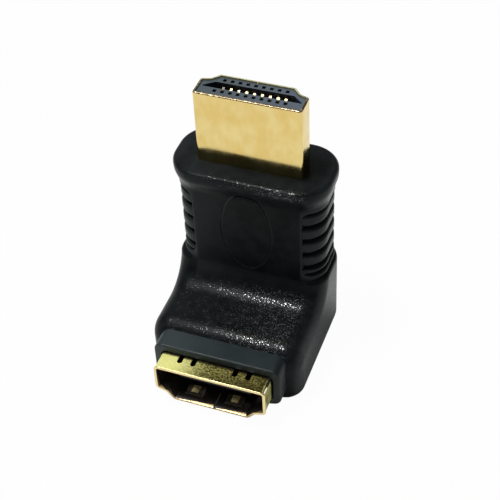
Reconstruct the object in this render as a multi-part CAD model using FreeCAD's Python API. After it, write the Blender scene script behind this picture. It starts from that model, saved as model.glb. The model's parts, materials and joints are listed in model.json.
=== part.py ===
import FreeCAD, Part
import math
import os

# Right angle adapter: a flat nineteen-contact plug points up, the matching receptacle faces front.
# Frame: +Z up along the plug, -Y towards the receptacle's mouth, X across the width.
# The origin is on the plug's centre line, in the plane that the adapter rests on. Sizes are in mm.

Vector = FreeCAD.Vector

# Plug profile, from the wide face to the narrow one
PLUG_WIDTH = 13.9
PLUG_DEPTH = 4.45
PLUG_SIDE = 3.05            # straight part of each side wall, from the wide face
LEDGE_WIDTH = 11.5          # width where the shoulder turns from ledge to slope
LEDGE_DEPTH = 3.4           # depth of that turn, from the wide face
NARROW_WIDTH = 9.6
PROFILE_CORNER = 0.4
LEDGE_RADIUS = 0.8
LEDGE_RADIUS_MIN = 0.25
PLUG_SHEET = 0.3
PLUG_LENGTH = 10.4          # from the flange to the tip
PLUG_ROOT = 6.2             # length of the shell that is moulded in
PLUG_EDGE = 0.18            # rounding of the tip's outer edge
SEAM_GAP = 0.08             # butt joint of the folded sheet

# Contacts
CONTACT_PITCH = 1.0
WIDE_ROW_COUNT = 10
NARROW_ROW_COUNT = 9
PLUG_CONTACT_WIDTH = 0.32
PLUG_CONTACT_SHEET = 0.2
PLUG_CONTACT_BEND = 0.25
PLUG_CONTACT_REACH = 0.45   # how far a contact stands into the tongue's slot
CREST_DROP = 1.05           # highest point of a contact below the insulator's face
TIP_DROP = 0.25             # tip of a contact below the insulator's face
TIP_LENGTH = 0.15           # straight end of a contact behind its tip
SPRING_DROP = 5.0           # where the springing arm starts below the insulator's face
TAIL_RISE = 0.3             # straight part of the tail above the root of the insulator
PLUG_TAIL = 1.6             # overlap of a plug contact with the board
TONGUE_CONTACT_WIDTH = 0.36
TONGUE_CONTACT_SHEET = 0.15
TONGUE_CONTACT_PROUD = 0.04
TONGUE_CONTACT_BEND = 0.25
TONGUE_CONTACT_SETBACK = 0.5
FOOT_LENGTH = 1.5

# Plug insulator
FACE_RECESS = 0.2           # insulator face below the shell's tip
INSULATOR_FIT = 0.02        # insulator inside either shell
SLOT_FRONT = 1.825          # slot for the tongue, from the wide face of the shell
SLOT_DEPTH = 1.2
SLOT_MOUTH_WIDTH = 13.0
SLOT_CORNER = 0.1
SLOT_BAR = 0.3              # face bar between the slot and each contact window
BAR_HEIGHT = 0.5
WINDOW_DEPTH = 0.5
CHANNEL_CLEARANCE = 0.07    # each side of a contact in its channel
PLUG_BASE = 1.5             # solid root of the insulator
BASE_DROP = 0.6             # root below the shell's end

# Receptacle
MATING_CLEARANCE = 0.1      # opening around the plug profile
RECEPTACLE_SHEET = 0.4
RECEPTACLE_MOUTH = 19.7     # mouth plane in front of the plug axis
RECEPTACLE_HEIGHT = 3.8     # middle of the opening above the resting plane
SHELL_LENGTH = 11.2
LIP_FLARE = 0.15
LIP_LENGTH = 0.4
LIP_EDGE = 0.1
OPENING_CORNER = 0.15
SHELL_SEAM_OFFSET = 0.5
TONGUE_SETBACK = 2.0
TONGUE_FIT = 0.1            # tongue inside the plug's slot, all round
TONGUE_EDGE = 0.25
RECEPTACLE_BASE = 4.4       # solid root of the insulator
ROOT_OUT = 0.5              # root beyond the shell's end

# Spring fingers of the receptacle shell
TOP_FINGER_OFFSET = 3.73
TOP_FINGER_WIDTH = 1.1
TOP_SLOT_WIDTH = 0.7
TOP_SLOT_SETBACK = 1.55     # round slot ends behind the mouth plane
TOP_FINGER_FLAT = 0.9       # level start of a finger behind the slot ends
TOP_FINGER_DIP = 3.3        # lowest point of a finger behind the slot ends
TOP_FINGER_END = 4.4        # free end of a finger behind the slot ends
TOP_FINGER_RISE = 0.25      # free end above the lowest point
TOP_FINGER_ROOT = 0.45      # sheet left in front of a finger's root
BOTTOM_FINGER_OFFSET = 2.72
BOTTOM_FINGER_WIDTH = 2.3
BOTTOM_WINDOW_WIDTH = 2.4
BOTTOM_WINDOW_SETBACK = 1.0
LEAF_HOLD = 0.3             # overlap of a leaf with the sheet behind its window
LEAF_FLAT = 0.5             # level root of a leaf in its window
LEAF_REST = 1.6             # raised front of a leaf, from the window's front edge
LEAF_GAP = 0.06             # tip of a leaf behind the window's front edge
DIMPLE_SETBACK = 0.8        # dimple behind the window's front edge
FINGER_LENGTH = 4.9
FINGER_REACH = 0.45         # how far a finger stands into the opening
FINGER_BEND = 0.35
DIMPLE_BALL = 0.7           # ball that forms a contact dimple
DIMPLE_HEIGHT = 0.24

# Collar round the receptacle
COLLAR_WALL = 1.15
COLLAR_PROUD = 2.0          # in front of the block's front face
COLLAR_ROOT = 1.85          # moulded into the block
COLLAR_CORNER = 1.2
COLLAR_EDGE = 0.25
COLLAR_LEAD = 0.2           # chamfer round the shell at the collar's front
COLLAR_FLOOR = 0.75         # underside of the collar above the resting plane

# Circuit board
BOARD_THICKNESS = 0.8
BOARD_WIDTH = 13.6
BOARD_FLOOR = 1.4
BOARD_CORNER = 0.6
BOARD_DROP = 0.6            # board below the root of the plug insulator

# Inner mould
INNER_WIDTH = 15.2
INNER_DEPTH = 5.4
INNER_CORNER = 1.2
INNER_TOP = 3.0             # below the flange top
INNER_ARM_WIDTH = 16.2
INNER_ARM_HEIGHT = 6.6
INNER_ARM_CORNER = 0.8

# Overmould: lower block
BLOCK_WIDTH = 20.65
BLOCK_FRONT = 14.9
BACK_REACH = 4.55
BLOCK_TOP = 8.5
NOSE_RADIUS = 3.0
SIDE_RADIUS = 2.6
BACK_RADIUS = 3.4
SOLE_RADIUS = 1.2
SWEEP_RADIUS = 3.6
SHOULDER_FLOOR = 10.95      # where the sides start to curve in to the neck
SHOULDER_TOP = 11.55
BLEND_STEPS = 8

# Overmould: neck, flange and grips
FLANGE_HEIGHT = 27.0
FLANGE_THICKNESS = 0.95     # upright part of the edge, with its rounding
FLANGE_WIDTH = 21.0
FLANGE_DEPTH = 10.5
FLANGE_END_FLAT = 1.7       # straight part of the flange's short ends
FLANGE_EDGE = 0.6
FLARE_HEIGHT = 2.7          # curve from the edge down to the neck
NECK_WIDTH = 19.9
FLANGE_OVERHANG = 1.0       # flange in front of the neck
NECK_RADIUS = 3.3
GRIP_FACE_WIDTH = 14.7      # smooth front face between the two grips
GRIP_BELOW_FLARE = 0.3      # grip's upper end below the flange's flare
GRIP_ABOVE_SWEEP = 0.2      # grip's lower end above the sweep
GRIP_CORNER = 1.0
GRIP_DEPTH = 0.9
RIB_RECESS = 0.1            # rib crests inside the neck's surface
RIB_COUNT = 5
RIB_PITCH = 2.3
RIB_HEIGHT = 1.6
RIB_EDGE = 0.4
RIB_EDGE_SHARE = 0.4        # largest rounding of a rib, as a share of its height
GRIP_RIM = 0.25             # rounded edge of each grip's recess
OVAL_WIDTH = 7.1
OVAL_HEIGHT = 12.75
OVAL_MIDDLE = 18.3
OVAL_LINE = 0.28
OVAL_DEPTH = 0.12

# Places that follow from the sizes
PLUG_TIP = FLANGE_HEIGHT + PLUG_LENGTH
SHELL_FOOT = FLANGE_HEIGHT - PLUG_ROOT
PLUG_WIDE_FACE = -PLUG_DEPTH / 2
PLUG_FACE = PLUG_TIP - FACE_RECESS
INSULATOR_FOOT = SHELL_FOOT - BASE_DROP
BOARD_TOP = INSULATOR_FOOT - BOARD_DROP
SHELL_GROW = MATING_CLEARANCE + RECEPTACLE_SHEET
SHELL_BACK = -RECEPTACLE_MOUTH + SHELL_LENGTH
ROOT_BACK = SHELL_BACK + ROOT_OUT
OPENING_TOP = RECEPTACLE_HEIGHT + PLUG_DEPTH / 2 + MATING_CLEARANCE
OPENING_FLOOR = RECEPTACLE_HEIGHT - PLUG_DEPTH / 2 - MATING_CLEARANCE
TONGUE_TIP = -RECEPTACLE_MOUTH + TONGUE_SETBACK
TONGUE_THICKNESS = SLOT_DEPTH - 2 * TONGUE_FIT
TONGUE_MIDDLE = RECEPTACLE_HEIGHT + PLUG_DEPTH / 2 - SLOT_FRONT - SLOT_DEPTH / 2
SLOT_FLOOR_WIDTH = CONTACT_PITCH * WIDE_ROW_COUNT
TONGUE_WIDTH = SLOT_FLOOR_WIDTH - 2 * TONGUE_FIT
FLANGE_CORNER = (FLANGE_DEPTH - FLANGE_END_FLAT) / 2
NECK_FRONT = FLANGE_DEPTH / 2 - FLANGE_OVERHANG
SWEEP_TOP = BLOCK_TOP + SWEEP_RADIUS
GRIP_CEILING = FLANGE_HEIGHT - FLANGE_THICKNESS - FLARE_HEIGHT - GRIP_BELOW_FLARE
GRIP_FLOOR = SWEEP_TOP + GRIP_ABOVE_SWEEP
FAR = 60.0                  # longer than the object, for cutting
PAST = 1.0                  # how far a cutting form runs past a face
NEAR = 0.01                 # tolerance for picking edges and faces


def unit(a, b):
    """Unit direction from one plane point to another."""
    length = math.hypot(b[0] - a[0], b[1] - a[1])
    return ((b[0] - a[0]) / length, (b[1] - a[1]) / length)


def corner_arc(before, corner, after, radius):
    """Start, middle and end of the arc that rounds one corner of an outline."""
    back, ahead = unit(corner, before), unit(corner, after)
    half = math.acos(max(-1.0, min(1.0, back[0] * ahead[0] + back[1] * ahead[1]))) / 2
    reach = radius / math.tan(half)
    middle = (back[0] + ahead[0], back[1] + ahead[1])
    length = math.hypot(*middle)
    inward = radius / math.sin(half) - radius
    start = (corner[0] + back[0] * reach, corner[1] + back[1] * reach)
    end = (corner[0] + ahead[0] * reach, corner[1] + ahead[1] * reach)
    top = (corner[0] + middle[0] / length * inward, corner[1] + middle[1] / length * inward)
    return start, top, end


def rounded_edges(corners, radii, at, closed=True):
    """Straight edges through the corners with an arc at each corner that has a radius."""
    count = len(corners)
    arcs = []
    for i in range(count):
        if radii[i] and (closed or 0 < i < count - 1):
            arcs.append(corner_arc(corners[i - 1], corners[i], corners[(i + 1) % count], radii[i]))
        else:
            arcs.append((corners[i], None, corners[i]))
    edges = []
    for i in range(count):
        start, top, end = arcs[i]
        if top:
            edges.append(Part.Arc(at(*start), at(*top), at(*end)).toShape())
        if closed or i < count - 1:
            following = arcs[(i + 1) % count][0]
            edges.append(Part.LineSegment(at(*end), at(*following)).toShape())
    return edges


def outline(corners, radii, at):
    """Closed wire of an outline with rounded corners."""
    return Part.Wire(rounded_edges(corners, radii, at))


def prism(wire, direction):
    """Solid that a flat closed wire sweeps along a straight line."""
    return Part.Face(wire).extrude(direction)


def box(x0, x1, y0, y1, z0, z1):
    """Box between two corners."""
    return Part.makeBox(x1 - x0, y1 - y0, z1 - z0, Vector(x0, y0, z0))


def join(shapes):
    """One solid from overlapping ones."""
    first = shapes[0].fuse(shapes[1:]) if len(shapes) > 1 else shapes[0]
    return first.removeSplitter()


def plan_outline(half, front, back, front_radius, back_radius, z):
    """Level outline of a rounded rectangle, from its half width and its reach to front and back."""
    corners = [(-half, -front), (half, -front), (half, back), (-half, back)]
    radii = [front_radius, front_radius, back_radius, back_radius]
    return outline(corners, radii, lambda x, y: Vector(x, y, z))


def plan_block(width, front, back, front_radius, back_radius, low, high):
    """Upright prism with a rounded rectangle for its plan."""
    wire = plan_outline(width / 2, front, back, front_radius, back_radius, low)
    return prism(wire, Vector(0, 0, high - low))


def grown(corners, distance):
    """The same outline with every side moved outwards, the corners listed clockwise or not."""
    count = len(corners)
    area = sum(corners[i - 1][0] * corners[i][1] - corners[i][0] * corners[i - 1][1]
               for i in range(count))
    turn = 1 if area > 0 else -1
    moved = []
    for i in range(count):
        first, second = unit(corners[i - 1], corners[i]), unit(corners[i], corners[(i + 1) % count])
        normals = [(turn * side[1], -turn * side[0]) for side in (first, second)]
        share = distance / (1 + normals[0][0] * normals[1][0] + normals[0][1] * normals[1][1])
        moved.append((corners[i][0] + (normals[0][0] + normals[1][0]) * share,
                      corners[i][1] + (normals[0][1] + normals[1][1]) * share))
    return moved


def profile(grow, at, corner):
    """Outline of the plug, grown by a distance, as across and depth from the wide face."""
    half = [(PLUG_WIDTH / 2, 0), (PLUG_WIDTH / 2, PLUG_SIDE), (LEDGE_WIDTH / 2, LEDGE_DEPTH),
            (NARROW_WIDTH / 2, PLUG_DEPTH)]
    corners = half + [(-x, depth) for x, depth in reversed(half)]
    hollow = max(LEDGE_RADIUS - grow, LEDGE_RADIUS_MIN)
    radii = [corner, corner, hollow, corner]
    return outline(grown(corners, grow), radii + radii[::-1], at)


def plug_prism(grow, low, high):
    """Upright solid with the plug's profile, its wide face towards the front."""
    wire = profile(grow, lambda x, depth: Vector(x, PLUG_WIDE_FACE + depth, low),
                   PROFILE_CORNER + grow)
    return prism(wire, Vector(0, 0, high - low))


def mouth_profile(grow, y, corner=None):
    """Receptacle outline at a distance from the plug axis, its wide face up."""
    top = RECEPTACLE_HEIGHT + PLUG_DEPTH / 2
    natural = OPENING_CORNER + grow - MATING_CLEARANCE
    return profile(grow, lambda x, depth: Vector(x, y, top - depth), corner or natural)


def mouth_prism(grow, front, back, corner=None):
    """Level solid with the receptacle's profile."""
    return prism(mouth_profile(grow, front, corner), Vector(0, back - front, 0))


def bent_strip(path, bend, sheet, width, x):
    """Sheet strip that follows a path in depth and height, its width centred on x."""
    sides = []
    for side in (-sheet / 2, sheet / 2):
        directions = [unit(path[i], path[i + 1]) for i in range(len(path) - 1)]
        points, radii = [], []
        for i, point in enumerate(path):
            before = directions[max(i - 1, 0)]
            after = directions[min(i, len(directions) - 1)]
            normals = [(-before[1], before[0]), (-after[1], after[0])]
            share = side / (1 + normals[0][0] * normals[1][0] + normals[0][1] * normals[1][1])
            points.append((point[0] + (normals[0][0] + normals[1][0]) * share,
                           point[1] + (normals[0][1] + normals[1][1]) * share))
            turn = before[0] * after[1] - before[1] * after[0]
            radii.append(bend - side if turn > 0 else bend + side)
        sides.append((points, radii))
    left = x - width / 2

    def at(y, z):
        return Vector(left, y, z)

    lower = rounded_edges(sides[0][0], sides[0][1], at, closed=False)
    upper = rounded_edges(sides[1][0], sides[1][1], at, closed=False)
    ends = [Part.LineSegment(at(*sides[0][0][i]), at(*sides[1][0][i])).toShape() for i in (0, -1)]
    wire = Part.Wire(Part.__sortEdges__(lower + upper + ends))
    return Part.Face(wire).extrude(Vector(width, 0, 0))


def row_places(count):
    """Positions of a row of contacts across the width."""
    return [CONTACT_PITCH * (i - (count - 1) / 2) for i in range(count)]


def plug_contacts():
    """Nineteen spring contacts: odd numbers in the wide row, even ones in the narrow row."""
    contacts = {}
    tip = PLUG_FACE - TIP_DROP
    for first, count, side in ((1, WIDE_ROW_COUNT, -1), (2, NARROW_ROW_COUNT, 1)):
        wall = PLUG_WIDE_FACE + SLOT_FRONT + (SLOT_DEPTH if side > 0 else 0)
        window = wall + side * (SLOT_BAR + WINDOW_DEPTH / 2)
        crest = wall - side * (PLUG_CONTACT_REACH - PLUG_CONTACT_SHEET / 2)
        tail = side * (BOARD_THICKNESS + PLUG_CONTACT_SHEET) / 2
        path = [(tail, BOARD_TOP - PLUG_TAIL), (tail, INSULATOR_FOOT + TAIL_RISE),
                (window, INSULATOR_FOOT + PLUG_BASE), (window, PLUG_FACE - SPRING_DROP),
                (crest, PLUG_FACE - CREST_DROP), (window, tip - TIP_LENGTH), (window, tip)]
        for i, x in enumerate(row_places(count)):
            contacts[first + 2 * i] = bent_strip(path, PLUG_CONTACT_BEND, PLUG_CONTACT_SHEET,
                                                 PLUG_CONTACT_WIDTH, x)
    return contacts


def plug_shell():
    """Folded sheet shell with a butt seam on its narrow side."""
    shell = plug_prism(0, SHELL_FOOT, PLUG_TIP)
    rim = [edge for edge in shell.Edges if edge.BoundBox.ZMin > PLUG_TIP - NEAR]
    shell = shell.makeFillet(PLUG_EDGE, rim)
    shell = shell.cut(plug_prism(-PLUG_SHEET, SHELL_FOOT - PAST, PLUG_TIP + PAST))
    seam = box(-SEAM_GAP / 2, SEAM_GAP / 2, 0, PLUG_DEPTH, SHELL_FOOT - PAST, PLUG_TIP + PAST)
    return shell.cut(seam)


def tongue_slot():
    """Space for the receptacle's tongue, tapered like the shell."""
    front = PLUG_WIDE_FACE + SLOT_FRONT
    corners = [(-SLOT_MOUTH_WIDTH / 2, front), (SLOT_MOUTH_WIDTH / 2, front),
               (SLOT_FLOOR_WIDTH / 2, front + SLOT_DEPTH), (-SLOT_FLOOR_WIDTH / 2, front + SLOT_DEPTH)]
    floor = INSULATOR_FOOT + PLUG_BASE
    wire = outline(corners, [SLOT_CORNER] * 4, lambda x, y: Vector(x, y, floor))
    return prism(wire, Vector(0, 0, FAR))


def plug_insulator(contacts):
    """Moulded block with the tongue slot, a channel and a face window for each contact."""
    body = plug_prism(-PLUG_SHEET - INSULATOR_FIT, INSULATOR_FOOT, PLUG_FACE)
    cuts = [tongue_slot()]
    half = PLUG_CONTACT_WIDTH / 2 + CHANNEL_CLEARANCE
    floor = INSULATOR_FOOT + PLUG_BASE
    for count, side in ((WIDE_ROW_COUNT, -1), (NARROW_ROW_COUNT, 1)):
        wall = PLUG_WIDE_FACE + SLOT_FRONT + (SLOT_DEPTH if side > 0 else 0)
        bar = wall + side * SLOT_BAR
        far = bar + side * WINDOW_DEPTH
        inside = wall - side * SLOT_DEPTH / 4
        for x in row_places(count):
            cuts.append(box(x - half, x + half, min(inside, far), max(inside, far),
                            floor, PLUG_FACE - BAR_HEIGHT))
            cuts.append(box(x - half, x + half, min(bar, far), max(bar, far),
                            floor, PLUG_FACE + PAST))
    return body.cut(cuts).cut(list(contacts.values()))


def receptacle_contacts():
    """Nineteen flat contacts on the tongue, with feet that lie on the board."""
    contacts = {}
    face = -(BOARD_THICKNESS + TONGUE_CONTACT_SHEET) / 2
    inset = TONGUE_THICKNESS / 2 + TONGUE_CONTACT_PROUD - TONGUE_CONTACT_SHEET / 2
    for first, count, side in ((1, WIDE_ROW_COUNT, 1), (2, NARROW_ROW_COUNT, -1)):
        level = TONGUE_MIDDLE + side * inset
        path = [(TONGUE_TIP + TONGUE_CONTACT_SETBACK, level), (face, level),
                (face, level + side * FOOT_LENGTH)]
        for i, x in enumerate(row_places(count)):
            contacts[first + 2 * i] = bent_strip(path, TONGUE_CONTACT_BEND, TONGUE_CONTACT_SHEET,
                                                 TONGUE_CONTACT_WIDTH, x)
    return contacts


def receptacle_insulator(contacts):
    """Moulded root that fills the back of the shell, with the contact tongue in front."""
    inside = MATING_CLEARANCE - INSULATOR_FIT
    root_front = ROOT_BACK - RECEPTACLE_BASE
    root = mouth_prism(inside, root_front, ROOT_BACK)
    half = TONGUE_WIDTH / 2
    low, high = TONGUE_MIDDLE - TONGUE_THICKNESS / 2, TONGUE_MIDDLE + TONGUE_THICKNESS / 2
    tongue = box(-half, half, TONGUE_TIP, root_front + PAST, low, high)
    tip = [edge for edge in tongue.Edges
           if edge.BoundBox.YMax < TONGUE_TIP + NEAR and edge.BoundBox.XLength > NEAR]
    tongue = tongue.makeChamfer(TONGUE_EDGE, tip)
    return join([root, tongue]).cut(list(contacts.values()))


def slot_cut(x, front, width, low, high):
    """Slot through the shell's sheet from a round end back along the finger."""
    end = front + width / 2
    straight = box(x - width / 2, x + width / 2, end, front + FINGER_LENGTH, low, high)
    nose = Part.makeCylinder(width / 2, high - low, Vector(x, end, low))
    return straight.fuse(nose)


def top_finger(x):
    """Finger that starts at the mouth side and dips into the opening."""
    level = OPENING_TOP + RECEPTACLE_SHEET / 2
    front = -RECEPTACLE_MOUTH + TOP_SLOT_SETBACK
    low = level - FINGER_REACH
    path = [(front, level), (front + TOP_FINGER_FLAT, level), (front + TOP_FINGER_DIP, low),
            (front + TOP_FINGER_END, low + TOP_FINGER_RISE)]
    return bent_strip(path, FINGER_BEND, RECEPTACLE_SHEET, TOP_FINGER_WIDTH, x)


def bottom_finger(x):
    """Leaf in a window, fixed at its back, with a raised contact dimple near the mouth."""
    level = OPENING_FLOOR - RECEPTACLE_SHEET / 2
    front = -RECEPTACLE_MOUTH + BOTTOM_WINDOW_SETBACK
    back = front + FINGER_LENGTH
    crest = level + FINGER_REACH - DIMPLE_HEIGHT
    path = [(back + LEAF_HOLD, level), (back - LEAF_FLAT, level), (front + LEAF_REST, crest),
            (front + LEAF_GAP, crest)]
    leaf = bent_strip(path, FINGER_BEND, RECEPTACLE_SHEET, BOTTOM_FINGER_WIDTH, x)
    sunk = RECEPTACLE_SHEET / 2 + DIMPLE_HEIGHT - DIMPLE_BALL
    foot = math.degrees(math.asin(-sunk / DIMPLE_BALL))
    centre = Vector(x, front + DIMPLE_SETBACK, crest + sunk)
    return leaf.fuse(Part.makeSphere(DIMPLE_BALL, centre, Vector(0, 0, 1), foot, 90))


def receptacle_shell():
    """Folded sheet shell with a flared lip, spring fingers and a seam underneath."""
    front = -RECEPTACLE_MOUTH
    lip_back = front + LIP_LENGTH

    def lip(grow, margin):
        flare = [mouth_profile(grow, lip_back), mouth_profile(grow + LIP_FLARE, front)]
        solid = Part.makeLoft(flare, True, True)
        if margin:
            solid = solid.fuse(mouth_prism(grow + LIP_FLARE, front - margin, front))
        return solid.fuse(mouth_prism(grow, lip_back, SHELL_BACK + margin))

    outer = lip(SHELL_GROW, 0).removeSplitter()
    rim = [edge for edge in outer.Edges if edge.BoundBox.YMax < front + NEAR]
    outer = outer.makeFillet(LIP_EDGE, rim)
    shell = outer.cut(lip(MATING_CLEARANCE, PAST))
    above, below = OPENING_TOP + RECEPTACLE_SHEET, OPENING_FLOOR - RECEPTACLE_SHEET
    cuts = [box(SHELL_SEAM_OFFSET - SEAM_GAP / 2, SHELL_SEAM_OFFSET + SEAM_GAP / 2,
                front - PAST, SHELL_BACK + PAST, below - PAST, OPENING_FLOOR + PAST)]
    fingers = []
    for side in (-1, 1):
        x = side * TOP_FINGER_OFFSET
        start = front + TOP_SLOT_SETBACK
        reach = (TOP_FINGER_WIDTH + TOP_SLOT_WIDTH) / 2
        for edge in (-reach, reach):
            cuts.append(slot_cut(x + edge, start, TOP_SLOT_WIDTH, OPENING_TOP - NEAR, above + PAST))
        cuts.append(box(x - reach, x + reach, start + TOP_FINGER_ROOT, start + FINGER_LENGTH,
                        OPENING_TOP - NEAR, above + PAST))
        fingers.append(top_finger(x))
        x = side * BOTTOM_FINGER_OFFSET
        half = BOTTOM_WINDOW_WIDTH / 2
        start = front + BOTTOM_WINDOW_SETBACK
        cuts.append(box(x - half, x + half, start, start + FINGER_LENGTH,
                        below - PAST, OPENING_FLOOR + NEAR))
        fingers.append(bottom_finger(x))
    return join([shell.cut(cuts)] + fingers)


def collar_outline(front, back):
    """Outer form of the collar, cut level underneath."""
    body = mouth_prism(SHELL_GROW + COLLAR_WALL, front, back, COLLAR_CORNER)
    return body.cut(box(-FAR, FAR, -FAR, FAR, -FAR, COLLAR_FLOOR))


def collar():
    """Hard plastic ring round the receptacle shell, seated against the inner mould."""
    front = -BLOCK_FRONT - COLLAR_PROUD
    back = -BLOCK_FRONT + COLLAR_ROOT
    ring = collar_outline(front, back)
    face = [edge for edge in ring.Edges if edge.BoundBox.YMax < front + NEAR]
    ring = ring.makeFillet(COLLAR_EDGE, face)
    lead = [mouth_profile(SHELL_GROW + COLLAR_LEAD, front),
            mouth_profile(SHELL_GROW, front + COLLAR_LEAD)]
    return ring.cut([mouth_prism(SHELL_GROW, front - PAST, back + PAST),
                     Part.makeLoft(lead, True, True)])


def circuit_board():
    """Board between the two rows of plug tails and behind the receptacle."""
    half = BOARD_WIDTH / 2
    corners = [(-half, BOARD_FLOOR), (half, BOARD_FLOOR), (half, BOARD_TOP), (-half, BOARD_TOP)]
    wire = outline(corners, [BOARD_CORNER] * 4, lambda x, z: Vector(x, -BOARD_THICKNESS / 2, z))
    return prism(wire, Vector(0, BOARD_THICKNESS, 0))


def inner_form():
    """Outer form of the inner mould: an upright part and an arm to the collar."""
    upright = plan_block(INNER_WIDTH, INNER_DEPTH / 2, INNER_DEPTH / 2, INNER_CORNER, INNER_CORNER,
                         COLLAR_FLOOR, FLANGE_HEIGHT - INNER_TOP)
    half = INNER_ARM_WIDTH / 2
    low, high = COLLAR_FLOOR, COLLAR_FLOOR + INNER_ARM_HEIGHT
    front = -BLOCK_FRONT + COLLAR_ROOT
    corners = [(-half, low), (half, low), (half, high), (-half, high)]
    wire = outline(corners, [INNER_ARM_CORNER] * 4, lambda x, z: Vector(x, front, z))
    return join([upright, prism(wire, Vector(0, -front, 0))])


def inner_mould(held):
    """Hard inner mould round the board, the tails and the roots of both connectors."""
    body = inner_form()
    body = body.cut([plug_prism(0, SHELL_FOOT, FAR), mouth_prism(SHELL_GROW, -FAR, SHELL_BACK)])
    return body.cut(held)


def sweep_front(z):
    """Reach of the front face at a height on the sweep between block and neck."""
    rise = min(SWEEP_TOP - z, SWEEP_RADIUS)
    return NECK_FRONT + SWEEP_RADIUS - math.sqrt(SWEEP_RADIUS ** 2 - max(rise, 0) ** 2)


def block():
    """Lower block: resting face, rounded nose and the sweep up to the neck."""
    half = BLOCK_WIDTH / 2
    corners = [(BACK_REACH, 0), (-BLOCK_FRONT, 0), (-BLOCK_FRONT, BLOCK_TOP),
               (-NECK_FRONT, BLOCK_TOP), (-NECK_FRONT, FLANGE_HEIGHT), (BACK_REACH, FLANGE_HEIGHT)]
    radii = [0, 0, NOSE_RADIUS, SWEEP_RADIUS, 0, 0]
    body = prism(outline(corners, radii, lambda y, z: Vector(-half, y, z)), Vector(2 * half, 0, 0))

    def on_side(edge):
        limits = edge.BoundBox
        return limits.XLength < NEAR and NEAR < limits.Center.z < FLANGE_HEIGHT - NEAR

    front = [edge for edge in body.Edges if on_side(edge) and edge.BoundBox.YMin < BACK_REACH - NEAR]
    body = body.makeFillet(SIDE_RADIUS, front)
    back = [edge for edge in body.Edges if on_side(edge) and edge.BoundBox.YMin > BACK_REACH - NEAR]
    body = body.makeFillet(BACK_RADIUS, back)
    sole = [edge for edge in body.Edges if edge.BoundBox.ZMax < NEAR]
    body = body.makeFillet(SOLE_RADIUS, sole)
    return body.cut(box(-FAR, FAR, -FAR, FAR, SHOULDER_FLOOR, FAR))


def shoulder(lower):
    """Sides that curve in from the block's upper end to the neck, as high as the sweep."""
    seat = [face for face in lower.Faces if face.BoundBox.ZMin > SHOULDER_FLOOR - NEAR][0]
    climb = SHOULDER_TOP - SHOULDER_FLOOR
    sections = [seat.OuterWire]
    for i in range(1, BLEND_STEPS + 1):
        rise = math.sin(math.pi / 2 * i / BLEND_STEPS)
        share = math.sqrt(1 - min(rise, 1.0) ** 2)
        z = SHOULDER_FLOOR + climb * rise
        half = (NECK_WIDTH + (BLOCK_WIDTH - NECK_WIDTH) * share) / 2
        front_radius = NECK_RADIUS + (SIDE_RADIUS - NECK_RADIUS) * share
        back_radius = NECK_RADIUS + (BACK_RADIUS - NECK_RADIUS) * share
        sections.append(plan_outline(half, sweep_front(z), BACK_REACH, front_radius, back_radius, z))
    sections.append(plan_outline(NECK_WIDTH / 2, NECK_FRONT, BACK_REACH, NECK_RADIUS, NECK_RADIUS,
                                 SWEEP_TOP))
    return Part.makeLoft(sections, True, True)


def neck_block(inset, low, high):
    """Neck's plan form, moved inwards by a distance."""
    return plan_block(NECK_WIDTH - 2 * inset, NECK_FRONT - inset, BACK_REACH - inset,
                      NECK_RADIUS - inset, NECK_RADIUS - inset, low, high)


def flange():
    """Rounded plate round the plug's root, with a flare that runs down into the neck."""
    low = FLANGE_HEIGHT - FLANGE_THICKNESS
    depth = FLANGE_DEPTH / 2
    plate = plan_block(FLANGE_WIDTH, depth, depth, FLANGE_CORNER, FLANGE_CORNER, low, FLANGE_HEIGHT)
    rim = [edge for edge in plate.Edges if edge.BoundBox.ZMin > FLANGE_HEIGHT - NEAR]
    plate = plate.makeFillet(FLANGE_EDGE, rim)
    sections = []
    for i in range(BLEND_STEPS + 1):
        share = (1 - math.cos(math.pi * i / BLEND_STEPS)) / 2
        half = (NECK_WIDTH + (FLANGE_WIDTH - NECK_WIDTH) * share) / 2
        front = NECK_FRONT + (depth - NECK_FRONT) * share
        back = BACK_REACH + (depth - BACK_REACH) * share
        radius = NECK_RADIUS + (FLANGE_CORNER - NECK_RADIUS) * share
        z = low - FLARE_HEIGHT * (1 - i / BLEND_STEPS)
        sections.append(plan_outline(half, front, back, radius, radius, z))
    return join([plate, Part.makeLoft(sections, True, True)])


def grip_windows():
    """Space that the two grips take out of the neck's sides, with rounded front corners."""
    windows = []
    near = GRIP_FACE_WIDTH / 2
    for side in (-1, 1):
        corners = [(side * near, GRIP_FLOOR), (side * FAR, GRIP_FLOOR),
                   (side * FAR, GRIP_CEILING), (side * near, GRIP_CEILING)]
        radii = [GRIP_CORNER, 0, 0, GRIP_CORNER]
        wire = outline(corners, radii, lambda x, z: Vector(x, -FAR, z))
        windows.append(prism(wire, Vector(0, 2 * FAR, 0)))
    return windows


def ribs():
    """Grip ribs that run round the neck, each with rounded edges."""
    margin = RIB_PITCH - RIB_HEIGHT - GRIP_RIM
    slabs = []
    for i in range(RIB_COUNT):
        high = GRIP_CEILING - margin - RIB_PITCH * i
        low = max(high - RIB_HEIGHT, GRIP_FLOOR + margin)
        slab = neck_block(RIB_RECESS, low, high)
        rims = [edge for edge in slab.Edges if edge.BoundBox.ZLength < NEAR]
        slabs.append(slab.makeFillet(min(RIB_EDGE, (high - low) * RIB_EDGE_SHARE), rims))
    return slabs


def neck():
    """Neck above the sweep, the recesses for its two grips and the ribs in them."""
    body = neck_block(0, SWEEP_TOP, FLANGE_HEIGHT - FLANGE_EDGE)
    core = neck_block(GRIP_DEPTH, GRIP_FLOOR - PAST, GRIP_CEILING + PAST)
    windows = grip_windows()
    pieces = [slab.common(window) for slab in ribs() for window in windows]
    return body, [window.cut(core) for window in windows], pieces


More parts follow.
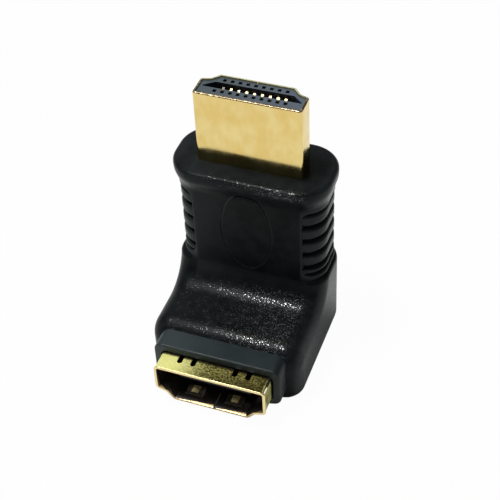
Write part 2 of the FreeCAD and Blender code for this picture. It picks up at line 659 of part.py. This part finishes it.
def soften_grips(body):
    """Round the edges where the two recesses meet the neck's surface."""
    skin = neck_block(0, 0, FAR).Shells[0]
    rims = []
    for edge in body.Edges:
        limits = edge.BoundBox
        level = limits.ZMin > GRIP_FLOOR - NEAR and limits.ZMax < GRIP_CEILING + NEAR
        middle = edge.valueAt((edge.FirstParameter + edge.LastParameter) / 2)
        if level and skin.distToShape(Part.Vertex(middle))[0] < NEAR:
            rims.append(edge)
    return body.makeFillet(GRIP_RIM, rims)


def oval_line():
    """Shallow engraved oval on the neck's front face."""
    rings = []
    for inset in (0, OVAL_LINE):
        front = -NECK_FRONT - PAST
        curve = Part.Ellipse(Vector(0, front, OVAL_MIDDLE + OVAL_HEIGHT / 2 - inset),
                             Vector(OVAL_WIDTH / 2 - inset, front, OVAL_MIDDLE),
                             Vector(0, front, OVAL_MIDDLE))
        rings.append(prism(Part.Wire(curve.toShape()), Vector(0, PAST + OVAL_DEPTH, 0)))
    return rings[0].cut(rings[1])


def overmould():
    """Soft outer moulding round the inner mould, the collar and the plug's root."""
    upright, grips, pieces = neck()
    lower = block()
    body = join([lower, shoulder(lower), upright, flange()]).cut(grips)
    body = join([soften_grips(body)] + pieces)
    collar_back = -BLOCK_FRONT + COLLAR_ROOT
    return body.cut([oval_line(), inner_form(), plug_prism(0, SHELL_FOOT, FAR),
                     collar_outline(-BLOCK_FRONT - COLLAR_PROUD, collar_back)])


def save(name, shape):
    """Write one piece, as a single solid, to its own file."""
    solid = shape.Solids[0] if len(shape.Solids) == 1 else shape
    solid.exportStep("parts/" + name + ".step")
    print(name, len(shape.Solids), "solids", round(shape.Volume, 3), "mm3", shape.isValid())


def main():
    os.makedirs("parts", exist_ok=True)
    upper, lower = plug_contacts(), receptacle_contacts()
    upper_insulator, lower_insulator = plug_insulator(upper), receptacle_insulator(lower)
    board = circuit_board()
    held = [upper_insulator, lower_insulator, board] + list(upper.values()) + list(lower.values())
    save("overmould", overmould())
    save("inner_mould", inner_mould(held))
    save("collar", collar())
    save("plug_shell", plug_shell())
    save("plug_insulator", upper_insulator)
    save("receptacle_shell", receptacle_shell())
    save("receptacle_insulator", lower_insulator)
    save("circuit_board", board)
    for number in sorted(upper):
        save("plug_contact_%02d" % number, upper[number])
    for number in sorted(lower):
        save("receptacle_contact_%02d" % number, lower[number])


main()
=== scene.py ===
import json
import math

import bpy
from mathutils import Matrix, Vector

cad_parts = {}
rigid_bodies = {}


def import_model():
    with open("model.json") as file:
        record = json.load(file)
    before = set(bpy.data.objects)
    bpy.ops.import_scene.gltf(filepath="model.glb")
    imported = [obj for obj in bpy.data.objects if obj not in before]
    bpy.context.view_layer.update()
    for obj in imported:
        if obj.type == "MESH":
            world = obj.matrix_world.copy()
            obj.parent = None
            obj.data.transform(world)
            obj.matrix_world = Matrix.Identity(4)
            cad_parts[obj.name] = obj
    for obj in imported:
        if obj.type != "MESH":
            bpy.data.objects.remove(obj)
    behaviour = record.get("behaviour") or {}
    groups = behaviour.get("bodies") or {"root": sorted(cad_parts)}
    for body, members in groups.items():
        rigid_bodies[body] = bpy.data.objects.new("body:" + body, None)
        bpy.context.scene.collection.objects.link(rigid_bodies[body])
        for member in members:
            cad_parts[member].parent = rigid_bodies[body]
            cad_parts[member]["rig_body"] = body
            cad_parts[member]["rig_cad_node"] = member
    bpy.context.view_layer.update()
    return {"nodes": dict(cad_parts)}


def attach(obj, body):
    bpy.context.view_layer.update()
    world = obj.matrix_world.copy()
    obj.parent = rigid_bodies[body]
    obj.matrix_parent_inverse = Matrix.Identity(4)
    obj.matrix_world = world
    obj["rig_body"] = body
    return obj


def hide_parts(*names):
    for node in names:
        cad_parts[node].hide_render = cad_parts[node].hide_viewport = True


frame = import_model()

# Overmould: the black body of the adapter, injection moulded in soft PVC over the soldered inside.
# Its tool was spark eroded, which leaves a fine grain in relief; painted glints stand in for its glitter
# on the block's top and on the flange's front edge. Painted shade darkens the block's top and the neck's
# foot, and painted light brightens the grips, the flange's ends, the neck, the block's walls and the
# oval's groove.
# The neck's front face is rubbed a little duller and has an engraved oval.

MM = 0.001
WIDTH, DEPTH, HEIGHT = range(3)
MERGE_DISTANCE = 0.002 * MM
SMOOTH_BELOW = math.radians(32)


class Channel:
    """One output in a node tree; sums and products on it add their Math nodes."""

    def __init__(self, pattern, socket):
        self.pattern = pattern
        self.socket = socket

    def maths(self, operation, first, second=0.0):
        return self.pattern.add("ShaderNodeMath", {"operation": operation}, {0: first, 1: second})

    def __add__(self, other):
        return self.maths("ADD", self, other)

    def __radd__(self, other):
        return self.maths("ADD", other, self)

    def __sub__(self, other):
        return self.maths("SUBTRACT", self, other)

    def __rsub__(self, other):
        return self.maths("SUBTRACT", other, self)

    def __mul__(self, other):
        return self.maths("MULTIPLY", self, other)

    def __rmul__(self, other):
        return self.maths("MULTIPLY", other, self)

    def __abs__(self):
        return self.maths("ABSOLUTE", self)

    def limited(self):
        """The same, kept between 0 and 1."""
        return self.pattern.add("ShaderNodeClamp", {}, {"Value": self})


class Pattern:
    """A node tree that is written as expressions on the outputs of its nodes."""

    def __init__(self, tree):
        self.tree = tree

    def add(self, kind, settings, inputs, output=0):
        """Add a node, set it up, feed its sockets and hand back one of its outputs."""
        node = self.tree.nodes.new(kind)
        for name, value in settings.items():
            setattr(node, name, value)
        self.feed(node, inputs)
        return Channel(self, node.outputs[output])

    def feed(self, node, inputs):
        """Link channels to the sockets of a node, and set plain values on them."""
        for name, value in inputs.items():
            if isinstance(value, Channel):
                self.tree.links.new(value.socket, node.inputs[name])
            else:
                node.inputs[name].default_value = value


class Finish(Pattern):
    """A surface finish: a Principled shader and the patterns that feed it, with sizes in mm."""

    def __init__(self, name, metallic=0.0, specular=0.5):
        self.material = bpy.data.materials.new(name)
        self.material.use_nodes = True
        super().__init__(self.material.node_tree)
        self.shader = self.tree.nodes["Principled BSDF"]
        self.feed(self.shader, {"Metallic": metallic, "IOR": 1.5, "Specular IOR Level": specular})
        self.place = self.add("ShaderNodeTexCoord", {}, {}, "Object")

    def noise(self, grain, detail=2.0, stretch=(1, 1, 1)):
        """Soft random pattern whose patches are about as large as grain."""
        place = self.add("ShaderNodeMapping", {}, {"Vector": self.place, "Scale": stretch})
        return self.add("ShaderNodeTexNoise", {},
                        {"Vector": place, "Scale": 1 / (grain * MM), "Detail": detail})

    def at(self, axis):
        """The coordinate along one axis, in metres."""
        return self.add("ShaderNodeSeparateXYZ", {}, {0: self.place}, axis)

    def along(self, axis, low, high):
        """Rises from 0 to 1 over a stretch of one axis."""
        return self.ease(self.at(axis), low * MM, high * MM)

    def outwards(self, low, high):
        """Rises from 0 to 1 over a stretch of the width, on both sides of the middle."""
        return self.along(WIDTH, low, high) + self.along(WIDTH, -low, -high)

    def ease(self, value, low, high, to_low=0.0, to_high=1.0):
        """Map the stretch from low to high smoothly onto another stretch."""
        return self.add("ShaderNodeMapRange", {"interpolation_type": "SMOOTHSTEP"},
                        {"Value": value, "From Min": low, "From Max": high,
                         "To Min": to_low, "To Max": to_high})

    def blend(self, share, first, second):
        """Mix two colours."""
        return self.add("ShaderNodeMix", {"data_type": "RGBA"}, {0: share, 6: first, 7: second}, 2)

    def bumps(self, height, depth):
        """Relief of the given depth."""
        return self.add("ShaderNodeBump", {},
                        {"Height": height, "Distance": depth * MM, "Strength": 1.0})

    def surface(self, **inputs):
        """Feed the shader; a value may be a channel or plain."""
        names = {"colour": "Base Color", "rough": "Roughness", "normal": "Normal", "metallic": "Metallic"}
        self.feed(self.shader, {names[name]: value for name, value in inputs.items()})


def clouded(name, grain, tones, rough, metallic=0.0, specular=0.5):
    """A finish with nothing but soft clouds between two tones and two degrees of roughness."""
    finish = Finish(name, metallic=metallic, specular=specular)
    clouds = finish.noise(grain)
    finish.surface(colour=finish.blend(clouds, *tones), rough=finish.ease(clouds, 0.3, 0.7, *rough))
    return finish


def smoothed(node, finish):
    """Show a CAD node as a merged, smooth-shaded copy of its mesh with a finish."""
    bpy.ops.object.select_all(action="DESELECT")
    source = frame["nodes"][node]
    piece = source.copy()
    piece.data = source.data.copy()
    piece.name = "dressed_" + node
    piece.parent = None
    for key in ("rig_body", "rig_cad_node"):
        del piece[key]
    bpy.context.collection.objects.link(piece)
    piece.select_set(True)
    bpy.context.view_layer.objects.active = piece
    if piece.data.has_custom_normals:
        bpy.ops.mesh.customdata_custom_splitnormals_clear()
    bpy.ops.object.mode_set(mode="EDIT")
    bpy.ops.mesh.select_all(action="SELECT")
    bpy.ops.mesh.remove_doubles(threshold=MERGE_DISTANCE)
    bpy.ops.object.mode_set(mode="OBJECT")
    bpy.ops.object.shade_smooth_by_angle(angle=SMOOTH_BELOW)
    piece.data.materials.clear()
    piece.data.materials.append(finish.material)
    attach(piece, "root")
    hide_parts(node)
    return piece


def dress(piece, finish, chosen):
    """Give a second finish to the faces that a test on centre and normal, in mm, chooses."""
    piece.data.materials.append(finish.material)
    index = len(piece.data.materials) - 1
    for face in piece.data.polygons:
        if chosen(face.center / MM, face.normal):
            face.material_index = index


pvc = Finish("black_pvc", specular=0.06)
grain = pvc.noise(0.15, 1.0)
pores = pvc.noise(0.8)
cloud = pvc.noise(1.6, 5.0)

# Parts of the body, as masks.
flange_edge = pvc.along(HEIGHT, 25.5, 26.2)
flange_ends = pvc.outwards(8.6, 10) * pvc.along(HEIGHT, 23.5, 25)
rubbed = pvc.along(HEIGHT, 9.2, 10.6) - flange_edge * 0.5
beside_neck = pvc.outwards(7, 7.4)
grips = beside_neck * pvc.along(HEIGHT, 11.6, 12.3) * (1.0 - pvc.along(HEIGHT, 23, 24))
neck_face = rubbed * (1.0 - beside_neck)
neck_left = neck_face * pvc.along(WIDTH, 1, -7)
upper_neck = neck_face * pvc.along(HEIGHT, 13, 18)
neck_foot = pvc.along(HEIGHT, 9, 9.8) * (1.0 - pvc.along(HEIGHT, 12, 15))
rounded_sides = pvc.along(WIDTH, 7.2, 8.8) + pvc.along(WIDTH, -7.6, -9.2)
block_top = ((1.0 - pvc.along(HEIGHT, 9, 10.6)) * pvc.along(DEPTH, -5.5, -8)
             * (1.0 - rounded_sides))
block_walls = pvc.outwards(9.2, 10.2) * (1.0 - pvc.along(HEIGHT, 10, 12))

# Painted glints: pale metallic specks on the highest tips of the grain, placed where the lamps' highlights
# fall on the block's top and the flange's edge, denser towards the right where the highlight is brighter.
density = pvc.along(WIDTH, -7, 8) * 0.55 + pvc.ease(pores, 0.35, 0.65) * 0.3 + 0.15
tips = pvc.ease(grain + density * 0.15, 0.71, 0.80)
painted_glint_zone = pvc.along(HEIGHT, 5, 7.5) - pvc.along(HEIGHT, 9.5, 10.2) + flange_edge
painted_glints = tips * painted_glint_zone * (1.0 - rounded_sides * 0.95) * pvc.along(DEPTH, -3.5, -5.5)
painted_glint_tone = pvc.blend(density, (0.05, 0.055, 0.055, 1), (0.25, 0.26, 0.26, 1))

tone = pvc.blend(pvc.ease(cloud, 0.25, 0.75), (0.0070, 0.0088, 0.0096, 1), (0.0140, 0.0170, 0.0180, 1))
# Painted shade: the block's top and the neck's foot are darker.
shaded = block_top * 0.25 + neck_foot * 0.5
tone = pvc.blend(shaded, tone, (0.0025, 0.0032, 0.0036, 1))
# Painted light: the grips, the flange's ends, the neck's left and its upper part are paler.
painted_light = grips * 0.75 + flange_ends * 0.35 + neck_left * 0.35 + upper_neck * 0.12
tone = pvc.blend(painted_light, tone, (0.032, 0.038, 0.039, 1))
# Painted reflection: the block's walls are paler, as if they mirrored the white table.
tone = pvc.blend(block_walls * 0.85, tone, (0.050, 0.056, 0.058, 1))
dull_left = pvc.along(WIDTH, 2, -6) * (1.0 - rubbed)
pvc.surface(
    colour=pvc.blend(painted_glints, tone, painted_glint_tone),
    rough=pvc.ease(cloud, 0.3, 0.7, 0.23, 0.27) + neck_face * 0.12 - tips * 0.10 + dull_left * 0.10,
    metallic=painted_glints * 0.55,
    normal=pvc.bumps(pvc.ease(grain, 0.35, 0.65) * 0.09 + pores * 0.04, 0.08))
body = smoothed("overmould", pvc)

# Painted light: the floor of the oval groove is paler than the body, against the shade in the groove.
groove_painted_light = clouded("oval_groove_painted_light", 1.6, ((0.018, 0.021, 0.022, 1), (0.030, 0.035, 0.036, 1)),
                  (0.3, 0.4), specular=0.15)
dress(body, groove_painted_light, lambda centre, normal:  # floor of the oval groove
      abs(centre.x) < 3.6 and -4.24 < centre.y < -4.1 and 11.9 < centre.z < 24.8)


# Inner mould: hard filling cast round the board and the tails before the overmould goes on.
# Nothing of it shows on the finished adapter, so it keeps a plain matt grey.

filler = clouded("hard_filling", 1.5, ((0.10, 0.10, 0.10, 1), (0.14, 0.14, 0.14, 1)), (0.5, 0.6))
smoothed("inner_mould", filler)


# Collar: ring of hard slate grey plastic round the receptacle, pushed in from the front.
# Its faces are smooth and nearly matt; painted light makes them a little paler on the left and painted
# shade makes them dark in the right corner.

slate = Finish("slate_plastic", specular=0.3)
slate_cloud = slate.noise(1.8)
slate_grain = slate.noise(0.12, 1.0)
# Painted light on the left and painted shade towards the right and in the right corner.
slate_left = slate.blend(slate_cloud, (0.024, 0.037, 0.040, 1), (0.030, 0.045, 0.047, 1))
slate_right = slate.blend(slate_cloud, (0.013, 0.022, 0.024, 1), (0.020, 0.031, 0.033, 1))
slate_tone = slate.blend(slate.along(WIDTH, -8, 2), slate_left, slate_right)
collar_corner_painted_shade = slate.along(WIDTH, 7.2, 8.2) * 0.7
slate.surface(
    colour=slate.blend(collar_corner_painted_shade, slate_tone, (0.006, 0.009, 0.010, 1)),
    rough=slate.ease(slate_cloud, 0.3, 0.7, 0.38, 0.46),
    normal=slate.bumps(slate_grain, 0.003))
smoothed("collar", slate)


# Plug shell: steel sheet folded to the plug's profile and plated in pale gold, satin, with faint
# clouds in the plating. The cut edge at its tip has painted reflections: dark with spots of painted
# highlight in front, and pale with painted light behind.

PLUG_RIM = 37.2

pale_gold = Finish("pale_gold_plating", metallic=1.0)
plating_cloud = pale_gold.noise(1.4, 4.0, stretch=(1, 1, 0.6))
plating_streak = pale_gold.noise(0.25, stretch=(1, 1, 0.12))
pale_gold.surface(
    colour=pale_gold.blend(pale_gold.ease(plating_cloud, 0.2, 0.8),
                           (0.72, 0.52, 0.17, 1), (0.80, 0.65, 0.28, 1)),
    rough=pale_gold.ease(plating_cloud, 0.3, 0.7, 0.12, 0.18),
    normal=pale_gold.bumps(plating_streak, 0.0012))
plug = smoothed("plug_shell", pale_gold)

rim_gold = Finish("rim_painted_reflection", metallic=1.0)
# Painted reflection on the cut edge: dark with spots of painted highlight in front, pale painted light
# behind.
rim_cloud = rim_gold.noise(0.5)
rim_painted_highlights = rim_gold.ease(rim_cloud, 0.45, 0.62)
front_rim = rim_gold.blend(rim_painted_highlights, (0.16, 0.12, 0.07, 1), (0.50, 0.42, 0.28, 1))
rear_rim = rim_gold.blend(rim_cloud, (0.46, 0.45, 0.24, 1), (0.72, 0.70, 0.42, 1))
towards_rear = rim_gold.along(DEPTH, 0, 1.5)
rim_gold.surface(
    colour=rim_gold.blend(towards_rear, front_rim, rear_rim),
    rough=rim_gold.ease(rim_cloud, 0.3, 0.7, 0.26, 0.32),
    metallic=rim_gold.ease(towards_rear, 0, 1, 1.0, 0.1))
dress(plug, rim_gold, lambda centre, normal: centre.z > PLUG_RIM and normal.z > 0.3)


# Plug insulator: glass-filled moulding in blue-grey that holds the contacts. It fills the shell, and
# its face has the long slot for the tongue and a small window over each contact's tip.

INSULATOR_FACE = 37.15

face_plastic = Finish("blue_grey_moulding")
face_cloud = face_plastic.noise(0.8)
# Painted light: the face is paler and bluer towards the right.
face_left = face_plastic.blend(face_cloud, (0.050, 0.072, 0.082, 1), (0.085, 0.112, 0.125, 1))
face_right = face_plastic.blend(face_cloud, (0.070, 0.094, 0.125, 1), (0.110, 0.140, 0.175, 1))
face_plastic.surface(
    colour=face_plastic.blend(face_plastic.along(WIDTH, -7, 5), face_left, face_right),
    rough=face_plastic.ease(face_cloud, 0.3, 0.7, 0.3, 0.4))
insulator = smoothed("plug_insulator", face_plastic)

# Painted shade in the slot and the windows, with a painted blue reflection on the slot's ends.
recess_painted_shade = Finish("recess_painted_shade_plastic")
deep_cloud = recess_painted_shade.noise(0.8)
deep_tone = recess_painted_shade.blend(deep_cloud, (0.006, 0.008, 0.014, 1), (0.010, 0.012, 0.020, 1))
slot_ends_painted_reflection = recess_painted_shade.outwards(4.8, 6.0)
recess_painted_shade.surface(
    colour=recess_painted_shade.blend(slot_ends_painted_reflection, deep_tone, (0.030, 0.045, 0.090, 1)),
    rough=recess_painted_shade.ease(deep_cloud, 0.3, 0.7, 0.4, 0.5))
dress(insulator, recess_painted_shade, lambda centre, normal: centre.z < INSULATOR_FACE)


# Receptacle shell: thicker sheet folded round the tongue, with a flared lip, two spring fingers
# above and two dimpled leaves below. Its gold is greener and glossier, with a fine hammered grain,
# and it is worn towards the right; its colour has painted light on the left, painted shade on the right,
# inside the mouth and where it enters the collar, and a painted highlight along its right fold.

LIP_BACK = -19.55
MOUTH_MIDDLE = 3.8
LEAF_MIDDLE = 2.72
LEAF_HALF_WIDTH = 1.18
DIMPLE_DEPTH = -17.75

bright_gold = Finish("bright_gold_plating", metallic=1.0)
hammered = bright_gold.noise(0.26, 1.0)
gold_cloud = bright_gold.noise(1.2)
# Worn towards the right, with painted light brightening the left and painted shade darkening the right.
wear_and_painted_shade = bright_gold.along(WIDTH, -5.8, 0.5) - bright_gold.along(WIDTH, 6.9, 7.2)
rubs = bright_gold.ease(gold_cloud, 0.48, 0.62) * bright_gold.along(WIDTH, 0, 5)
mottles = (bright_gold.ease(hammered, 0.45, 0.58) * wear_and_painted_shade + rubs * 0.6).limited()
fresh_and_painted_light = bright_gold.blend(gold_cloud, (0.96, 0.93, 0.26, 1), (1.0, 0.98, 0.40, 1))
used_and_painted_shade = bright_gold.blend(gold_cloud, (0.42, 0.39, 0.10, 1), (0.52, 0.49, 0.16, 1))
plating = bright_gold.blend(mottles, bright_gold.blend(wear_and_painted_shade, fresh_and_painted_light, used_and_painted_shade), (0.12, 0.09, 0.025, 1))
# Painted shadow where the sheet enters the collar.
collar_painted_shadow = bright_gold.along(DEPTH, -17.4, -17.05)  # dark where the sheet enters the collar
bright_gold.surface(
    colour=bright_gold.blend(collar_painted_shadow, plating, (0.030, 0.024, 0.010, 1)),
    rough=bright_gold.ease(gold_cloud, 0.3, 0.7, 0.24, 0.32),
    metallic=bright_gold.ease(wear_and_painted_shade, 0, 1, 0.0, 0.65),
    normal=bright_gold.bumps(hammered, 0.05))
shell = smoothed("receptacle_shell", bright_gold)

# Painted shade on the faces inside the mouth and on the walls of the seam.
mouth_painted_shade = clouded("mouth_inside_painted_shade", 0.9, ((0.022, 0.018, 0.016, 1), (0.038, 0.030, 0.027, 1)),
                      (0.3, 0.4), metallic=0.5)
dress(shell, mouth_painted_shade, lambda centre, normal:  # faces that look at the middle of the mouth
      centre.y > LIP_BACK and centre.x * normal.x + (centre.z - MOUTH_MIDDLE) * normal.z < -0.2)

# Painted shade makes the leaves dark grey inside the mouth, and painted light makes the dimple on each a
# pale gold pad.
leaf_metal = Finish("leaf_painted_shade_and_light", metallic=0.3)
leaf_cloud = leaf_metal.noise(0.9)
off_middle = abs(abs(leaf_metal.at(WIDTH)) - LEAF_MIDDLE * MM)
off_depth = abs(leaf_metal.at(DEPTH) - DIMPLE_DEPTH * MM)
dimple_painted_light = (leaf_metal.ease(off_middle, 0.52 * MM, 0.46 * MM)
           * leaf_metal.ease(off_depth, 0.62 * MM, 0.56 * MM))
leaf_painted_shade = leaf_metal.blend(leaf_cloud, (0.09, 0.078, 0.065, 1), (0.15, 0.125, 0.10, 1))
lit_dimple_gold = leaf_metal.blend(leaf_cloud, (0.95, 0.78, 0.32, 1), (1.0, 0.88, 0.45, 1))
leaf_metal.surface(
    colour=leaf_metal.blend(dimple_painted_light, leaf_painted_shade, lit_dimple_gold),
    rough=leaf_metal.ease(leaf_cloud, 0.3, 0.7, 0.35, 0.45),
    metallic=leaf_metal.ease(dimple_painted_light, 0, 1, 0.3, 0.0))
dress(shell, leaf_metal, lambda centre, normal:  # leaves in the two lower windows
      abs(abs(centre.x) - LEAF_MIDDLE) < LEAF_HALF_WIDTH
      and -18.7 < centre.y < -16.6 and 1.12 < centre.z < 2.1)
# Painted shade on the walls of the seam.
dress(shell, mouth_painted_shade, lambda centre, normal:  # walls of the seam
      centre.y > LIP_BACK and 0.45 < centre.x < 0.55 and centre.z < 1.7 and abs(normal.x) > 0.5)

lip_gold = Finish("polished_lip", metallic=1.0)
lip_cloud = lip_gold.noise(0.9)
# Painted shade: the lower lip is darker, with a painted shadow along the seam.
lower_lip = lip_gold.along(HEIGHT, 2.6, 1.4)
seam_shadow = lower_lip * lip_gold.along(WIDTH, 0.28, 0.38) * lip_gold.along(WIDTH, 0.72, 0.62)
upper_gold = lip_gold.blend(lip_cloud, (0.80, 0.63, 0.30, 1), (0.88, 0.74, 0.40, 1))
lower_gold_painted_shade = lip_gold.blend(lip_cloud, (0.38, 0.27, 0.12, 1), (0.48, 0.36, 0.18, 1))
lip_tone = lip_gold.blend(lower_lip, upper_gold, lower_gold_painted_shade)
lip_gold.surface(
    colour=lip_gold.blend(seam_shadow, lip_tone, (0.02, 0.015, 0.01, 1)),
    rough=lip_gold.ease(lip_cloud, 0.3, 0.7, 0.28, 0.34))
dress(shell, lip_gold, lambda centre, normal: centre.y < LIP_BACK and normal.y < -0.2)

# Painted highlight: a paler, glossier line along the fold between the top and the right side.
fold_painted_highlight = clouded("fold_gold_painted_highlight", 0.9, ((0.96, 0.90, 0.58, 1), (1.0, 0.96, 0.70, 1)),
                    (0.08, 0.12), metallic=1.0)
dress(shell, fold_painted_highlight, lambda centre, normal:  # fold between the top and the right side
      centre.x > 6.8 and normal.x > 0.35 and normal.z > 0.35 and centre.y > -19.4)


# Receptacle insulator: black moulding pushed into the back of the receptacle shell, with the flat
# tongue that carries the contacts.

tongue_plastic = clouded("black_moulding", 0.8,
                         ((0.008, 0.008, 0.010, 1), (0.014, 0.014, 0.018, 1)), (0.3, 0.4))
smoothed("receptacle_insulator", tongue_plastic)


# Contacts: stamped copper alloy strips with bright gold on them, nineteen in the plug and nineteen
# on the tongue. The crest of each plug contact shines in the slot, but those at its left end have painted
# shade.

CONTACTS = 19

contact_gold = Finish("contact_gold", metallic=1.0)
contact_cloud = contact_gold.noise(0.5)
contact_tone = contact_gold.blend(contact_cloud, (0.62, 0.49, 0.24, 1), (0.74, 0.62, 0.36, 1))
# Painted shade on the contacts at the slot's left end.
left_contacts_painted_shade = contact_gold.along(WIDTH, -3.5, -3.8) * 0.85
contact_gold.surface(
    colour=contact_gold.blend(left_contacts_painted_shade, contact_tone, (0.05, 0.04, 0.03, 1)),
    rough=contact_gold.ease(contact_cloud, 0.3, 0.7, 0.28, 0.34))
for row in ("plug", "receptacle"):
    for number in range(1, CONTACTS + 1):
        smoothed("%s_contact_%02d" % (row, number), contact_gold)


# Circuit board: small green board upright between the two connectors, buried in the filling. Glass
# fibre laminate under a solder mask, cut from a larger panel.

solder_mask = clouded("green_solder_mask", 1.0,
                      ((0.010, 0.10, 0.035, 1), (0.014, 0.14, 0.05, 1)), (0.25, 0.35))
smoothed("circuit_board", solder_mask)


# Studio: white table under a broad lamp overhead, a weaker one behind, and a pale room. The table
# and the room are white to the camera and to mirror-like surfaces, but the table mirrors darker
# near the collar's right, where the adapter shades it.

bpy.ops.object.select_all(action="DESELECT")
bpy.ops.mesh.primitive_plane_add(size=3.0, location=(0, 0, -0.02 * MM))
table = bpy.context.object
table.name = "table"
bpy.ops.object.transform_apply(location=True)

table_white = Finish("white_table")
table_white.surface(colour=(0.80, 0.80, 0.80, 1), rough=0.9)
table_lit = Channel(table_white, table_white.shader.outputs["BSDF"])
table_glow = table_white.add("ShaderNodeEmission", {}, {"Color": (1, 1, 1, 1), "Strength": 1.0})
to_camera = table_white.add("ShaderNodeLightPath", {}, {}, "Is Camera Ray")
to_mirror = (table_white.add("ShaderNodeLightPath", {}, {}, "Is Glossy Ray")
             + table_white.add("ShaderNodeLightPath", {}, {}, "Is Transmission Ray"))
shaded_spot = (7 * MM, -8 * MM, 0)
away = table_white.add("ShaderNodeVectorMath", {"operation": "DISTANCE"},
                       {0: table_white.place, 1: shaded_spot}, "Value")
seen_white = (to_camera + to_mirror * table_white.ease(away, 9 * MM, 16 * MM, 0.15, 1)).limited()
table_mix = table_white.add("ShaderNodeMixShader", {}, {0: seen_white * 0.97, 1: table_lit, 2: table_glow})
table_white.feed(table_white.tree.nodes["Material Output"], {"Surface": table_mix})
table.data.materials.append(table_white.material)

room = bpy.data.worlds.new("room")
bpy.context.scene.world = room
room.use_nodes = True
walls = Pattern(room.node_tree)
outlook = walls.add("ShaderNodeTexCoord", {}, {}, "Generated")
above = walls.add("ShaderNodeSeparateXYZ", {}, {0: outlook}, "Z")
wall_light = walls.add("ShaderNodeMapRange", {}, {"Value": above, "From Min": 0.0, "From Max": 0.15,
                                                  "To Min": 0.9, "To Max": 0.12})
seen = walls.add("ShaderNodeLightPath", {}, {}, "Is Camera Ray")
strength = walls.add("ShaderNodeMix", {"data_type": "FLOAT"}, {0: seen, 2: wall_light, 3: 1.0})
walls.feed(walls.tree.nodes["Background"], {"Color": (1, 1, 1, 1), "Strength": strength})


def softbox(name, towards, distance, size, watts):
    """Rectangular lamp of a given size that looks at the middle of the adapter."""
    middle = Vector((0, -7, 15)) * MM
    place = middle + Vector(towards).normalized() * distance
    bpy.ops.object.light_add(type="AREA", location=place)
    lamp = bpy.context.object
    lamp.name = name
    lamp.data.shape = "RECTANGLE"
    lamp.data.size, lamp.data.size_y = size
    lamp.data.energy = watts
    lamp.rotation_euler = (middle - place).to_track_quat("-Z", "Y").to_euler()


softbox("lamp_overhead", (-0.27, -0.10, 0.96), 0.40, (0.16, 0.08), 1.2)
softbox("lamp_back", (-0.35, 0.62, 0.70), 0.50, (0.30, 0.30), 0.16)


# Camera: at the photograph's place, above and to the right of the adapter's front, tilted a little.
# Its place, direction and lens come from the fit of the adapter's edges to the photograph.

AZIMUTH, ELEVATION, ROLL = math.radians(22.01), math.radians(43.42), math.radians(-3.02)
CAMERA_PLACE = Vector((44.03, -112.29, 125.53)) * MM

back = Vector((math.sin(AZIMUTH) * math.cos(ELEVATION), -math.cos(AZIMUTH) * math.cos(ELEVATION),
               math.sin(ELEVATION)))
right = Vector((math.cos(AZIMUTH), math.sin(AZIMUTH), 0))
up = back.cross(right)
tilted_right = right * math.cos(ROLL) + up * math.sin(ROLL)
tilted_up = up * math.cos(ROLL) - right * math.sin(ROLL)
turn = Matrix((tilted_right, tilted_up, back)).transposed().to_4x4()
bpy.ops.object.camera_add()
camera = bpy.context.object
camera.data.lens = 89.51
camera.data.sensor_width = 36.0
camera.data.clip_start = 5 * MM
camera.matrix_world = Matrix.Translation(CAMERA_PLACE) @ turn
bpy.context.scene.camera = camera

bpy.context.scene.view_settings.view_transform = "Standard"
